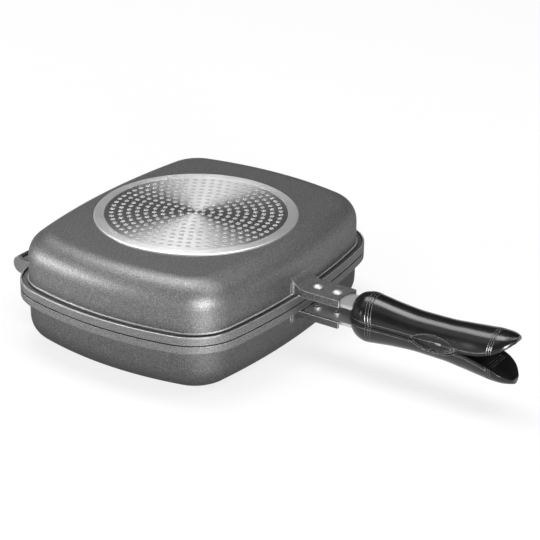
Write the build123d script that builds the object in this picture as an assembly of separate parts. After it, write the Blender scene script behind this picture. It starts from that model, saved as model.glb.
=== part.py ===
"""Hinged double-sided pan: two cast pans face to face, with a handle that closes in two halves.

The origin is the centre of the lower pan's resting face. +Z is up, +X points along the handle and the
hinge is on the -X side. Sizes are in millimetres. Every piece is first drawn about the seam between the
two pans, where z is zero, and then lifted to its height. What the two pans share is drawn once, for the
upper one, and mirrored for the lower one.
"""

from build123d import *
import math
import os

# Pan outline: a rounded rectangle whose four sides bulge a little
pan_half_length = 124.8
pan_half_width = 155.6
handle_side_radius = 648.0
long_side_radius = 333.0
corner_radius = 50.8

# Pan section, measured from the seam. The wall stands further out on the handle and hinge sides.
pan_depth = 52.0
wall_thickness = 3.2
floor_thickness = 4.2
wall_inset = 8.5
wall_length_gain = 1.3
wall_draft = 1.2
shoulder_radius = 23.0
rim_height = 8.2
rim_edge_radius = 1.0
rim_seam_radius = 0.6
lip_width = 1.7
lip_chamfer = 0.5
channel_depth = 2.8
foot_ledge_width = 0.9
seam_gap = 0.3

# Base pad and the perforated steel plate in it
pad_radius = 95.0
pad_proud = 1.8
pad_chamfer = 0.9
plate_radius = 85.0
plate_thickness = 0.8
plate_clearance = 0.1
hole_radius = 2.45
hole_rings = 10
first_ring_radius = 7.3
ring_pitch = 7.9
holes_per_ring_step = 6

# Silicone seal in the lower rim
seal_inset = 4.2
seal_width = 2.8
seal_depth = 2.6
seal_side_clearance = 0.1
seal_below_lid = 0.2

# Handle bracket cast on each pan
bracket_reach = 40.8
bracket_half_width = 15.3
bracket_top = 13.8
bracket_plate_thickness = 3.6
bracket_flange_thickness = 2.8
bracket_flange_drop = 3.0
bracket_root_radius = 12.0
bracket_root_step = 0.1
bracket_side_radius = 3.0
bracket_edge_radius = 0.7
bracket_end_depth = 5.0
bracket_ear_width = 1.8

# Steel tang between the bracket and the grip
tang_thickness = 3.0
tang_half_width = 12.2
tang_grip_half_width = 8.0
tang_start = 2.6
tang_shoulder_depth = 11.0
tang_depth = 74.0
tang_corner_radius = 3.0

# Rivets through bracket and tang, at these distances from the pan's edge
rivet_reaches = (9.5, 29.9)
rivet_shank_radius = 3.0
rivet_head_radius = 4.7
rivet_head_height = 2.4
rivet_tail_radius = 3.6
rivet_tail_height = 1.7
rivet_dimple_radius = 1.9
rivet_dimple_depth = 1.2
rivet_clearance = 0.05

# Grip: distance from the nose, half width, crown height, and how far the inner face has splayed away
grip_reach = 48.2
grip_stations = (
    (0.0, 4.0, 5.0, 0.0),
    (1.0, 8.3, 10.2, 0.0),
    (3.0, 12.2, 15.0, 0.0),
    (6.0, 15.5, 18.9, 0.0),
    (10.5, 18.3, 21.8, 0.0),
    (18.2, 20.2, 23.5, 0.0),
    (28.2, 19.4, 22.4, 0.0),
    (45.2, 18.3, 20.2, 0.0),
    (69.2, 17.8, 18.5, 0.0),
    (95.2, 17.7, 19.0, 0.0),
    (113.2, 18.6, 20.7, 0.1),
    (131.2, 19.5, 22.5, 2.5),
    (144.2, 18.6, 23.6, 6.8),
    (152.0, 16.2, 23.5, 10.8),
    (157.0, 12.2, 23.2, 14.0),
    (160.0, 8.2, 22.9, 16.4),
    (161.8, 4.0, 22.6, 18.2),
)
grip_spare = 3.0

# Finger scoops in the grips' sides and the lens-shaped step inside each
scoop_distance = 89.0
scoop_half_length = 24.0
scoop_half_height = 8.6
scoop_floor = 15.0
scoop_inner_half_length = 18.5
scoop_inner_half_height = 5.8
scoop_inner_floor = 12.6

# Magnets and their cups
magnet_distance = 93.0
magnet_radius = 11.0
magnet_thickness = 4.0
magnet_recess = 0.3
cup_radius = 13.5
cup_height = 6.0
cup_clearance = 0.1

# Grip screws and the threaded inserts that take them
screw_distance = 43.0
screw_radius = 2.5
screw_head_radius = 4.4
screw_head_height = 2.6
screw_head_recess = 1.6
screw_socket_radius = 1.6
screw_socket_depth = 1.5
screw_clearance = 0.1
screw_thread_clearance = 0.05
screw_tip_clearance = 1.0
insert_radius = 4.0
insert_height = 5.6
insert_cap = 0.8
tang_slot_clearance = 0.1

# Hinges: an open cradle on the lower pan, an arm on the upper pan, and a steel pin through both
hinge_reach = 9.2
hinge_middle_y = 80.0
hinge_width = 30.0
cradle_radius = 8.9
cradle_wall = 2.5
cradle_cheek = 4.0
cradle_cheek_bend = 1.2
cradle_cheek_top = 4.8
cradle_cheek_reach = 10.0
cradle_cheek_end = 11.9
cradle_pocket_reach = 12.2
cradle_lip_angle = 116.0
arm_side_clearance = 0.3
arm_knuckle_radius = 5.2
arm_neck_top = 1.6
arm_neck_bottom = -3.2
arm_neck_reach = 9.5
arm_foot = 11.0
arm_root_reach = 12.3
arm_root_top = 5.2
hinge_root = 17.0
pin_radius = 2.5
pin_running_clearance = 0.05
pin_seat_clearance = 0.02
pin_blind_skin = 1.5
pin_end_clearance = 0.1
pin_head_radius = 4.2
pin_head_height = 1.4

# How far a cutting shape runs past the face that it opens, and how close counts as the same place
cut_past = 1.0
tiny = 0.01

# Sizes worked out from the ones above
seam_height = pan_depth + pad_proud
wall_half_length = pan_half_length + wall_length_gain
wall_x = wall_half_length - wall_inset
hinge_axis_x = -pan_half_length - hinge_reach
bracket_end = pan_half_length + bracket_reach
rivet_places = [pan_half_length + reach for reach in rivet_reaches]
grip_start = pan_half_length + grip_reach
grip_end = grip_start + grip_stations[-1][0]
tang_shoulder = grip_start + tang_shoulder_depth
tang_end = grip_start + tang_depth
screw_place = grip_start + screw_distance
magnet_place = grip_start + magnet_distance
scoop_centre = grip_start + scoop_distance
bracket_plate_bottom = bracket_top - bracket_plate_thickness
tang_bottom = bracket_plate_bottom - tang_thickness
rim_face = seam_gap / 2
cavity_inset = wall_inset + wall_thickness
screw_head_bottom = rim_face + screw_head_recess
insert_bottom = bracket_plate_bottom + tang_slot_clearance


def corner_centre(half_length):
    """Centre of the corner arc in the first quarter, where both side arcs run into it."""
    side = Vector(half_length - handle_side_radius, 0)
    long_side = Vector(0, pan_half_width - long_side_radius)
    from_side = handle_side_radius - corner_radius
    from_long_side = long_side_radius - corner_radius
    apart = (long_side - side).length
    along = (apart**2 + from_side**2 - from_long_side**2) / (2 * apart)
    across = math.sqrt(from_side**2 - along**2)
    towards = (long_side - side).normalized()
    outwards = Vector(-towards.Y, towards.X)
    return side + towards * along + outwards * across


def outline(inset, height, half_length=pan_half_length):
    """Face of the pan's outline, moved inwards by inset, at the given height."""
    centre = corner_centre(half_length)
    side = Vector(half_length - handle_side_radius, 0)
    long_side = Vector(0, pan_half_width - long_side_radius)
    start = math.atan2(centre.Y, centre.X - side.X)
    end = math.atan2(centre.Y - long_side.Y, centre.X)

    def at(middle, radius, angle):
        return Vector(middle.X + radius * math.cos(angle), middle.Y + radius * math.sin(angle))

    side_middle = at(side, handle_side_radius - inset, 0)
    side_end = at(side, handle_side_radius - inset, start)
    corner_middle = at(centre, corner_radius - inset, (start + end) / 2)
    long_start = at(long_side, long_side_radius - inset, end)
    long_middle = at(long_side, long_side_radius - inset, math.pi / 2)

    def turned(point, x_sign, y_sign):
        return (point.X * x_sign, point.Y * y_sign, height)

    edges = [
        ThreePointArc(turned(side_end, 1, -1), turned(side_middle, 1, 1), turned(side_end, 1, 1)),
        ThreePointArc(turned(side_end, 1, 1), turned(corner_middle, 1, 1), turned(long_start, 1, 1)),
        ThreePointArc(turned(long_start, 1, 1), turned(long_middle, 1, 1), turned(long_start, -1, 1)),
        ThreePointArc(turned(long_start, -1, 1), turned(corner_middle, -1, 1), turned(side_end, -1, 1)),
        ThreePointArc(turned(side_end, -1, 1), turned(side_middle, -1, 1), turned(side_end, -1, -1)),
        ThreePointArc(turned(side_end, -1, -1), turned(corner_middle, -1, -1), turned(long_start, -1, -1)),
        ThreePointArc(turned(long_start, -1, -1), turned(long_middle, 1, -1), turned(long_start, 1, -1)),
        ThreePointArc(turned(long_start, 1, -1), turned(corner_middle, 1, -1), turned(side_end, 1, -1)),
    ]
    return make_face(edges)


def block(x_low, x_high, y_low, y_high, z_low, z_high):
    """Box between two corners."""
    size = (x_high - x_low, y_high - y_low, z_high - z_low)
    return Pos(x_low, y_low, z_low) * Box(*size, align=(Align.MIN, Align.MIN, Align.MIN))


def post(x, y, z_low, z_high, radius):
    """Upright cylinder."""
    return Pos(x, y, z_low) * Cylinder(radius, z_high - z_low, align=(Align.CENTER, Align.CENTER, Align.MIN))


def side_profile(points, y_low, y_high):
    """Solid with the given outline in X and Z, between two Y values."""
    face = make_face(Polyline(*[(x, 0, z) for x, z in points], close=True))
    return Pos(0, y_low, 0) * extrude(face, y_high - y_low, dir=(0, 1, 0))


def tapered_body(inset, top, edge_radius):
    """Upright body from the rim face to its top, with the casting's draft and a rounded top edge."""
    foot = outline(inset, rim_face, wall_half_length)
    body = extrude(foot, top - rim_face, taper=wall_draft)
    crown = body.faces().sort_by(Axis.Z)[-1]
    return fillet(crown.edges(), edge_radius)


def rim():
    """Flange around the seam, with a channel between its lip and the ledge at the wall's foot."""
    flange = extrude(outline(0, rim_face), rim_height - rim_face)
    flange = fillet(flange.faces().sort_by(Axis.Z)[-1].edges(), rim_edge_radius)
    flange = fillet(flange.faces().sort_by(Axis.Z)[0].edges(), rim_seam_radius)
    channel_bottom = rim_height - channel_depth
    ring = extrude(outline(lip_width, channel_bottom), channel_depth + cut_past)
    ring += extrude(outline(lip_width, rim_height - lip_chamfer), lip_chamfer + tiny, taper=-45)
    ledge_face = outline(wall_inset - foot_ledge_width, channel_bottom, wall_half_length)
    ledge = extrude(ledge_face, channel_depth)
    return flange - ring + ledge


def bracket():
    """Channel-shaped handle bracket: a plate with two flanges, curved into the wall."""
    flange_bottom = bracket_plate_bottom - bracket_flange_drop
    root = wall_x - wall_thickness / 2
    reach = bracket_root_radius
    centre_x, centre_z = root_centre()
    side = [
        (root, flange_bottom),
        (bracket_end, flange_bottom),
        (bracket_end, bracket_top),
        (centre_x, bracket_top),
        (centre_x, centre_z),
        (root, centre_z),
    ]
    shape = side_profile(side, -bracket_half_width, bracket_half_width)
    for face_y in (bracket_half_width, -bracket_half_width):
        shape += root_fillet(face_y, flange_bottom)
        shape += channel_fillet(face_y)
    wide = bracket_half_width + bracket_side_radius + cut_past
    hollow = Pos(centre_x, 0, centre_z) * Rot(90, 0, 0)
    shape -= hollow * Cylinder(reach, 2 * wide)
    notch_half = bracket_half_width - bracket_ear_width
    notch_radius = (notch_half**2 + bracket_end_depth**2) / (2 * bracket_end_depth)
    notch_x = bracket_end - bracket_end_depth + notch_radius
    shape -= post(notch_x, 0, flange_bottom - cut_past, bracket_top + cut_past, notch_radius)
    top_edges = [edge for edge in shape.edges() if is_bracket_rim(edge)]
    shape = fillet(top_edges, bracket_edge_radius)
    inside = bracket_half_width - bracket_flange_thickness
    return shape - block(
        pan_half_length + tang_start - tang_slot_clearance,
        bracket_end + cut_past,
        -inside,
        inside,
        flange_bottom - cut_past,
        bracket_plate_bottom,
    )


def root_centre():
    """Centre of the bracket's root curve in X and Z, for a curve that meets the drafted wall."""
    draft = math.radians(wall_draft)
    centre_z = bracket_top + bracket_root_radius
    lean = (centre_z - rim_face) * math.sin(draft)
    centre_x = wall_x + (bracket_root_radius - lean) / math.cos(draft) + bracket_root_step
    return centre_x, centre_z


def is_bracket_rim(edge):
    """Whether an edge runs along the bracket's flat top, past its root."""
    middle = edge @ 0.5
    flat = abs(middle.Z - bracket_top) < tiny
    return flat and middle.X > root_centre()[0] + tiny


def root_fillet(face_y, low):
    """Concave upright fillet between a flange's outer face and the wall."""
    radius = bracket_side_radius
    outer_y = face_y + math.copysign(radius, face_y)
    y_low, y_high = sorted((face_y, outer_y))
    sag = handle_side_radius - math.sqrt(handle_side_radius**2 - outer_y**2)
    leaning = Pos(wall_x - sag + bracket_root_step, 0, rim_face) * Rot(0, -wall_draft, 0)
    high = root_centre()[1] - rim_face
    piece = block(-wall_thickness / 2, radius, y_low, y_high, low - rim_face, high)
    return leaning * (piece - post(radius, outer_y, low - rim_face - cut_past, high + cut_past, radius))


def channel_fillet(face_y):
    """Concave fillet between a flange's outer face and the bottom of the rim's channel."""
    radius = channel_depth
    low = rim_height - channel_depth
    outer_y = face_y + math.copysign(radius, face_y)
    y_low, y_high = sorted((face_y, outer_y))
    lip = pan_half_length - lip_width
    piece = block(wall_x, lip, y_low, y_high, low, low + radius)
    hollow = Pos((wall_x + lip) / 2, outer_y, low + radius) * Rot(0, 90, 0)
    return piece - hollow * Cylinder(radius, lip - wall_x + 2 * cut_past)


def pan():
    """Upper pan about the seam, without its hinge parts."""
    shape = tapered_body(wall_inset, pan_depth, shoulder_radius) + rim() + bracket()
    pad = post(0, 0, pan_depth - floor_thickness / 2, pan_depth + pad_proud, pad_radius)
    shape += chamfer(pad.edges().sort_by(Axis.Z)[-1], pad_chamfer)
    cavity_top = pan_depth - floor_thickness
    shape -= tapered_body(cavity_inset, cavity_top, shoulder_radius - wall_thickness)
    plate_bottom = pan_depth + pad_proud - plate_thickness
    recess_top = plate_bottom + plate_thickness + cut_past
    shape -= post(0, 0, plate_bottom, recess_top, plate_radius + plate_clearance)
    for place in rivet_places:
        shape -= post(place, 0, tang_bottom, bracket_top + cut_past, rivet_shank_radius + rivet_clearance)
    return shape


def induction_plate():
    """Perforated steel plate: rings of holes with a solid middle, flush with the pad."""
    disc = Circle(plate_radius)
    holes = []
    for ring in range(hole_rings):
        radius = first_ring_radius + ring * ring_pitch
        count = holes_per_ring_step * (ring + 1)
        for step in range(count):
            angle = 2 * math.pi * step / count
            holes.append(Pos(radius * math.cos(angle), radius * math.sin(angle)) * Circle(hole_radius))
    rings = [hole.wire() for hole in holes]
    face = Face(disc.wire(), rings)
    top = pan_depth + pad_proud
    return Pos(0, 0, top - plate_thickness) * extrude(face, plate_thickness)


def tang():
    """Steel strip under the bracket plate, narrower where it runs into the grip."""
    start = pan_half_length + tang_start
    top = bracket_plate_bottom
    wide = block(start, tang_shoulder, -tang_half_width, tang_half_width, tang_bottom, top)
    wide = fillet(wide.edges().filter_by(Axis.Z), tang_corner_radius)
    narrow = block(
        tang_shoulder - tang_half_width,
        tang_end,
        -tang_grip_half_width,
        tang_grip_half_width,
        tang_bottom,
        top,
    )
    far_edges = narrow.edges().filter_by(Axis.Z).group_by(Axis.X)[-1]
    strip = wide + fillet(far_edges, tang_corner_radius)
    low = tang_bottom - cut_past
    for place in rivet_places:
        strip -= post(place, 0, low, top + cut_past, rivet_shank_radius + rivet_clearance)
    return strip - post(screw_place, 0, low, top + cut_past, screw_radius + screw_clearance)


def rivet(place):
    """Domed rivet: head on the bracket plate, shank, and a peened tail under the tang."""
    head_radius = (rivet_head_radius**2 + rivet_head_height**2) / (2 * rivet_head_height)
    ball = Pos(place, 0, bracket_top + rivet_head_height - head_radius) * Sphere(head_radius)
    above = post(place, 0, bracket_top, bracket_top + rivet_head_height + cut_past, rivet_head_radius)
    tail_low = tang_bottom - rivet_tail_height
    shank = post(place, 0, tail_low, bracket_top, rivet_shank_radius)
    tail = post(place, 0, tail_low, tang_bottom, rivet_tail_radius)
    dimple = post(place, 0, tail_low - cut_past, tail_low + rivet_dimple_depth, rivet_dimple_radius)
    return (ball & above) + shank + tail - dimple


def rivets():
    """The bracket's rivets as separate solids."""
    return Compound(children=[rivet(place).solid() for place in rivet_places])


def grip_section(distance, half_width, crown, splay):
    """Half ellipse that stands on the grip's inner face, square to the handle."""
    low = max(splay, rim_face)
    plane = Plane(origin=(grip_start + distance, 0, low), x_dir=(0, 1, 0), z_dir=(1, 0, 0))
    arch = EllipticalCenterArc((0, 0), half_width, crown - low, arc_size=180)
    return plane * make_face([arch, Line(arch @ 1, arch @ 0)])


def lens(half_length, half_height, inner_y, outer_y):
    """Upright lens shape in the grip's side, between two distances from the middle."""
    left = (scoop_centre - half_length, 0, 0)
    right = (scoop_centre + half_length, 0, 0)
    top = ThreePointArc(left, (scoop_centre, 0, half_height), right)
    bottom = ThreePointArc(right, (scoop_centre, 0, -half_height), left)
    return Pos(0, inner_y, 0) * extrude(make_face([top, bottom]), outer_y - inner_y, dir=(0, 1, 0))


def grip():
    """Upper half of the handle: a moulded shell with room for tang, screw, insert and magnet cup."""
    shape = loft([grip_section(*station) for station in grip_stations])
    widest = max(station[1] for station in grip_stations) + cut_past
    below = block(grip_start, grip_end, -widest, widest, rim_face - grip_spare, rim_face)
    shape -= below
    for side in (1, -1):
        outer = lens(scoop_half_length, scoop_half_height, scoop_floor * side, widest * side)
        inner = lens(
            scoop_inner_half_length, scoop_inner_half_height, scoop_inner_floor * side, widest * side
        )
        shape = shape - outer - inner
    slot_low = tang_bottom - tang_slot_clearance
    slot_high = bracket_plate_bottom + tang_slot_clearance
    wide = tang_half_width + tang_slot_clearance
    narrow = tang_grip_half_width + tang_slot_clearance
    shoulder = tang_shoulder + tang_slot_clearance
    shape -= block(grip_start - cut_past, shoulder, -wide, wide, slot_low, slot_high)
    shape -= block(grip_start, tang_end + tang_slot_clearance, -narrow, narrow, slot_low, slot_high)
    head_top = screw_head_bottom + screw_head_height
    low = rim_face - cut_past
    shape -= post(screw_place, 0, low, head_top, screw_head_radius + screw_clearance)
    shape -= post(screw_place, 0, low, slot_high, screw_radius + screw_clearance)
    shape -= post(screw_place, 0, slot_low, insert_bottom + insert_height, insert_radius)
    return shape - post(magnet_place, 0, low, rim_face + cup_height, cup_radius + cup_clearance)


def magnet_cup():
    """Chromed cup, open towards the other half."""
    cup = post(magnet_place, 0, rim_face, rim_face + cup_height, cup_radius)
    opening = rim_face + magnet_recess + magnet_thickness
    return cup - post(magnet_place, 0, rim_face - cut_past, opening, magnet_radius + cup_clearance)


def magnet():
    """Disc magnet on the cup's floor."""
    low = rim_face + magnet_recess
    return post(magnet_place, 0, low, low + magnet_thickness, magnet_radius)


def grip_screw():
    """Screw with a flat head and a hexagon socket, from the inner face through grip and tang."""
    head_top = screw_head_bottom + screw_head_height
    screw = post(screw_place, 0, screw_head_bottom, head_top, screw_head_radius)
    tip = insert_bottom + insert_height - insert_cap - screw_tip_clearance
    screw += post(screw_place, 0, head_top, tip, screw_radius)
    socket = extrude(RegularPolygon(screw_socket_radius, 6), screw_socket_depth)
    return screw - Pos(screw_place, 0, screw_head_bottom) * socket


def insert():
    """Threaded brass insert moulded into the grip above the tang."""
    top = insert_bottom + insert_height
    body = post(screw_place, 0, insert_bottom, top, insert_radius)
    thread_radius = screw_radius + screw_thread_clearance
    return body - post(screw_place, 0, insert_bottom - cut_past, top - insert_cap, thread_radius)


def upright(shape):
    """Places a shape drawn for the upper pan."""
    return Pos(0, 0, seam_height) * shape


def turned_over(shape):
    """Places the mirror image of a shape drawn for the upper pan, as the lower pan has it."""
    return Pos(0, 0, seam_height) * mirror(shape, about=Plane.XY)


def hinge_solid(face, side, low, high):
    """Extrudes a face drawn about the hinge axis between two distances from the hinge's inner end."""
    start = hinge_middle_y - hinge_width / 2
    y_values = sorted((side * (start + low), side * (start + high)))
    placed = Pos(hinge_axis_x, y_values[0], 0) * face
    return extrude(placed, y_values[1] - y_values[0], dir=(0, 1, 0))


def hinge_face(points):
    """Face with straight edges in the plane across the hinge axis."""
    return make_face(Polyline(*[(x, 0, z) for x, z in points], close=True))


def hinge_disc(radius):
    """Round face about the hinge axis."""
    return Plane.XZ * Circle(radius)


def cradle(side):
    """Open cradle on the lower pan: a half pipe between two cheeks, with seats for the pin."""
    lip = math.radians(cradle_lip_angle)
    lip_corner = (cradle_radius * math.cos(lip), 0, cradle_radius * math.sin(lip))
    bottom = (0, 0, -cradle_radius)
    around = ThreePointArc(bottom, (-cradle_radius, 0, 0), lip_corner)
    edge = Polyline(
        lip_corner,
        (cradle_cheek_bend, 0, cradle_cheek_top),
        (cradle_cheek_reach, 0, cradle_cheek_top),
        (cradle_cheek_end, 0, -rim_face),
        (hinge_root, 0, -rim_face),
        (hinge_root, 0, -rim_height),
        bottom,
    )
    shape = hinge_solid(make_face([around, edge]), side, 0, hinge_width)
    pocket_radius = cradle_radius - cradle_wall
    far = 3 * cradle_radius
    mouth = [
        (0, -pocket_radius),
        (cradle_pocket_reach, -pocket_radius),
        (cradle_pocket_reach, far),
        (far * math.cos(lip), far * math.sin(lip)),
        (0, 0),
    ]
    pocket_low = cradle_cheek
    pocket_high = hinge_width - cradle_cheek
    shape -= hinge_solid(hinge_disc(pocket_radius), side, pocket_low, pocket_high)
    shape -= hinge_solid(hinge_face(mouth), side, pocket_low, pocket_high)
    seat = hinge_disc(pin_radius + pin_seat_clearance)
    return shape - hinge_solid(seat, side, -cut_past, hinge_width - pin_blind_skin)


def arm(side):
    """Arm of the upper pan: a knuckle around the pin and a neck up to the rim."""
    low = cradle_cheek + arm_side_clearance
    high = hinge_width - cradle_cheek - arm_side_clearance
    neck = [
        (0, arm_neck_bottom),
        (arm_foot, arm_neck_bottom),
        (arm_foot, rim_face),
        (hinge_root, rim_face),
        (hinge_root, arm_root_top),
        (arm_root_reach, arm_root_top),
        (arm_neck_reach, arm_neck_top),
        (0, arm_neck_top),
    ]
    return hinge_solid(hinge_face(neck), side, low, high) + hinge_solid(
        hinge_disc(arm_knuckle_radius), side, low, high
    )


def arm_bore(side):
    """Running bore through the arm."""
    return hinge_solid(hinge_disc(pin_radius + pin_running_clearance), side, 0, hinge_width)


def hinge_pin(side):
    """Steel pin: its head is on the cheek nearer the middle, its far end in a blind seat."""
    head = hinge_solid(hinge_disc(pin_head_radius), side, -pin_head_height, 0)
    shank = hinge_solid(
        hinge_disc(pin_radius), side, 0, hinge_width - pin_blind_skin - pin_end_clearance
    )
    return head + shank


def seal_ring(width_change, low, high):
    """Ring that follows the rim, between two heights."""
    outer = outline(seal_inset - width_change, low)
    inner = outline(seal_inset + seal_width + width_change, low)
    return extrude(outer, high - low) - extrude(inner, high - low)


def build_parts():
    """All pieces by name, in place."""
    half = pan()
    upper_pan = half + arm(1) + arm(-1) - arm_bore(1) - arm_bore(-1)
    lower_pan = turned_over(half) + upright(cradle(1)) + upright(cradle(-1))
    seal_floor = -rim_face - seal_depth
    lower_pan -= upright(seal_ring(seal_side_clearance, seal_floor, 0))
    parts = {
        "upper_pan": upright(upper_pan),
        "lower_pan": lower_pan,
        "rim_seal": upright(seal_ring(0, seal_floor, rim_face - seal_below_lid)),
        "left_hinge_pin": upright(hinge_pin(1)),
        "right_hinge_pin": upright(hinge_pin(-1)),
    }
    shared = {
        "induction_plate": induction_plate(),
        "tang": tang(),
        "bracket_rivets": rivets(),
        "grip": grip(),
        "grip_screw": grip_screw(),
        "insert": insert(),
        "magnet": magnet(),
        "magnet_cup": magnet_cup(),
    }
    for name, shape in shared.items():
        parts[f"upper_{name}"] = upright(shape)
        parts[f"lower_{name}"] = turned_over(shape)
    return parts


os.makedirs("parts", exist_ok=True)
for name, shape in build_parts().items():
    export_step(shape, f"parts/{name}.step")
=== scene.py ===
# %% [markdown]
# A hinged double-sided pan, dressed for its portrait. Two cast pans lie face to face and share one
# outline. Each has a perforated steel plate in its base, a bracket with a steel tang, and half of a
# black handle. A picture could be made from one sculpted mesh, but then nothing would open or have
# a true size. So the engineering model gives every piece its size and place, and this script gives
# each piece its finish, and the handle halves the mouldings that the engineering model leaves
# plain. All lengths are in metres, and the axes are those of the model: +X along the handle, +Z up,
# with the lower pan standing on z = 0.

# %% Load the frame
import bpy
import math
from mathutils import Matrix, Vector


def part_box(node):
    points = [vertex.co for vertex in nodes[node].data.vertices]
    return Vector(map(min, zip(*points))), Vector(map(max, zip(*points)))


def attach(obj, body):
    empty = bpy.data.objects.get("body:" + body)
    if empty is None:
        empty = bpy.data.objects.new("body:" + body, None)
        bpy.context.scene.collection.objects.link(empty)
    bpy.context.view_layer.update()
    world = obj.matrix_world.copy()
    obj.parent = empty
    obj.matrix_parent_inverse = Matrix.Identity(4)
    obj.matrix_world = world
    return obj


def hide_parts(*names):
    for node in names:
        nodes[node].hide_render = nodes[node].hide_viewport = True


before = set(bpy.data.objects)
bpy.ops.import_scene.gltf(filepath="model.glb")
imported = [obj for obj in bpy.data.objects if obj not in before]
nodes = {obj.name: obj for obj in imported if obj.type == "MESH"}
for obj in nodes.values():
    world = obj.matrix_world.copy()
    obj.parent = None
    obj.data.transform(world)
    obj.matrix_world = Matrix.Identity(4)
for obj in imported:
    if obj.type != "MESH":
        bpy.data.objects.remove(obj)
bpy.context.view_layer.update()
MM = 0.001

# %% [markdown]
# A camera can be dragged into place by hand, or aimed at an empty with a constraint. Here it is
# placed by two angles and a distance, as a photographer would say it: how far round the object, how
# high above it, and how far away. That way each number can be corrected on its own against the
# photograph. A long lens keeps the pan's far side nearly as large as its near side. The look-at
# point is the middle of the seam between the two pans, and a small slide across the picture puts
# the handle inside the frame.

# %% Camera
SEAM_Z = (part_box("upper_induction_plate")[1].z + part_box("lower_induction_plate")[0].z) / 2
CAMERA_AZIMUTH = math.radians(33.13)
CAMERA_ELEVATION = math.radians(24.98)
CAMERA_ROLL = math.radians(0.88)
CAMERA_DISTANCE = 1.7169
CAMERA_SLIDE = (0.0690, -0.0052)
FOCAL_LENGTH = 121.87
SENSOR = 36.0
CLIP_END = 50.0


def camera_matrix():
    """The camera's place and turn, as a 4 by 4 matrix."""
    level = math.cos(CAMERA_ELEVATION)
    back = Vector((
        math.sin(CAMERA_AZIMUTH) * level,
        -math.cos(CAMERA_AZIMUTH) * level,
        math.sin(CAMERA_ELEVATION),
    ))
    flat_right = Vector((0, 0, 1)).cross(back).normalized()
    flat_up = back.cross(flat_right)
    right = flat_right * math.cos(CAMERA_ROLL) + flat_up * math.sin(CAMERA_ROLL)
    up = flat_up * math.cos(CAMERA_ROLL) - flat_right * math.sin(CAMERA_ROLL)
    place = Vector((0, 0, SEAM_Z)) + back * CAMERA_DISTANCE
    place += right * CAMERA_SLIDE[0] + up * CAMERA_SLIDE[1]
    matrix = Matrix((right, up, back)).transposed().to_4x4()
    matrix.translation = place
    return matrix


def link(name, data):
    """A new object with a mesh, lamp or camera in it, in the scene."""
    made = bpy.data.objects.new(name, data)
    bpy.context.scene.collection.objects.link(made)
    return made


camera = link("camera", bpy.data.cameras.new("camera"))
camera.data.lens = FOCAL_LENGTH
camera.data.sensor_width = SENSOR
camera.data.clip_end = CLIP_END
camera.matrix_world = camera_matrix()
bpy.context.scene.camera = camera
print("camera at", [round(v, 3) for v in camera.matrix_world.translation])

# %% [markdown]
# Finishes are networks of small sums. They can be drawn by hand in the shader editor, but the
# drawing hides what it says. Here a Wire stands for the output of a node, so that ordinary Python
# arithmetic on it adds the Math nodes, and 1 - mask reads as it is meant. Anything else comes from
# one method, node(), which takes the node's type, its settings and its inputs.

# %% Shader arithmetic
class Wire:
    """One output of a shader node. Sums and comparisons on it add Math nodes to the same tree."""

    def __init__(self, tree, socket=None):
        self.tree = tree
        self.socket = socket

    def node(self, kind, settings=None, inputs=None, output=0):
        """Adds a node: settings first, then inputs by place or name. Gives the output asked for."""
        made = self.tree.nodes.new(kind)
        for key, value in (settings or {}).items():
            if key == "stops":
                fill_ramp(made.color_ramp, value)
            else:
                setattr(made, key, value)
        given = inputs or {}
        for key, value in given.items() if isinstance(given, dict) else enumerate(given):
            if isinstance(value, Wire):
                self.tree.links.new(value.socket, made.inputs[key])
            else:
                made.inputs[key].default_value = value
        return Wire(self.tree, made.outputs[output]) if made.outputs else None

    def math(self, operation, *values):
        return self.node("ShaderNodeMath", {"operation": operation}, values)

    def __add__(self, other):
        return self.math("ADD", self, other)

    def __radd__(self, other):
        return self.math("ADD", other, self)

    def __sub__(self, other):
        return self.math("SUBTRACT", self, other)

    def __rsub__(self, other):
        return self.math("SUBTRACT", other, self)

    def __mul__(self, other):
        return self.math("MULTIPLY", self, other)

    def __rmul__(self, other):
        return self.math("MULTIPLY", other, self)

    def __truediv__(self, other):
        return self.math("DIVIDE", self, other)

    def __rtruediv__(self, other):
        return self.math("DIVIDE", other, self)

    def __lt__(self, other):
        return self.math("LESS_THAN", self, other)

    def __gt__(self, other):
        return self.math("GREATER_THAN", self, other)

    def __abs__(self):
        return self.math("ABSOLUTE", self)


def fill_ramp(colour_ramp, stops):
    """Gives a colour ramp its stops, each a place and a grey."""
    for index, (place, level) in enumerate(stops):
        have = colour_ramp.elements
        stop = have[index] if index < len(have) else have.new(place)
        stop.position = place
        stop.color = grey(level)


def grey(level):
    """A neutral colour."""
    return (level, level, level, 1.0)


print("a wire can:", [name for name, value in vars(Wire).items() if callable(value)])

# %% [markdown]
# A few helpers come back in every finish: a fresh material, the object's own coordinates, smooth
# noise with grains of a known size, a grey that follows a value, and a mix of two colours. The
# pattern could be laid on by unwrapping each piece, but a pattern that reads the object's own
# coordinates needs no seams and has its true size everywhere: they are in metres, so a grain of
# 1 mm is written as 0.001. Colours and vectors never go through Math nodes, because a Math node
# keeps one number only.

# %% Helpers for patterns
def fresh_material(name):
    """A new material and the start of its node tree."""
    material = bpy.data.materials.new(name)
    material.use_nodes = True
    material.node_tree.nodes.clear()
    return material, Wire(material.node_tree)


def own_place(start):
    """The point on the object as a vector, and as its three numbers."""
    point = start.node("ShaderNodeTexCoord", output="Object")
    return point, [start.node("ShaderNodeSeparateXYZ", {}, [point], axis) for axis in "XYZ"]


def from_middle(x, y):
    """Distance from the upright axis through the pan's middle."""
    return x.math("SQRT", x * x + y * y)


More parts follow.
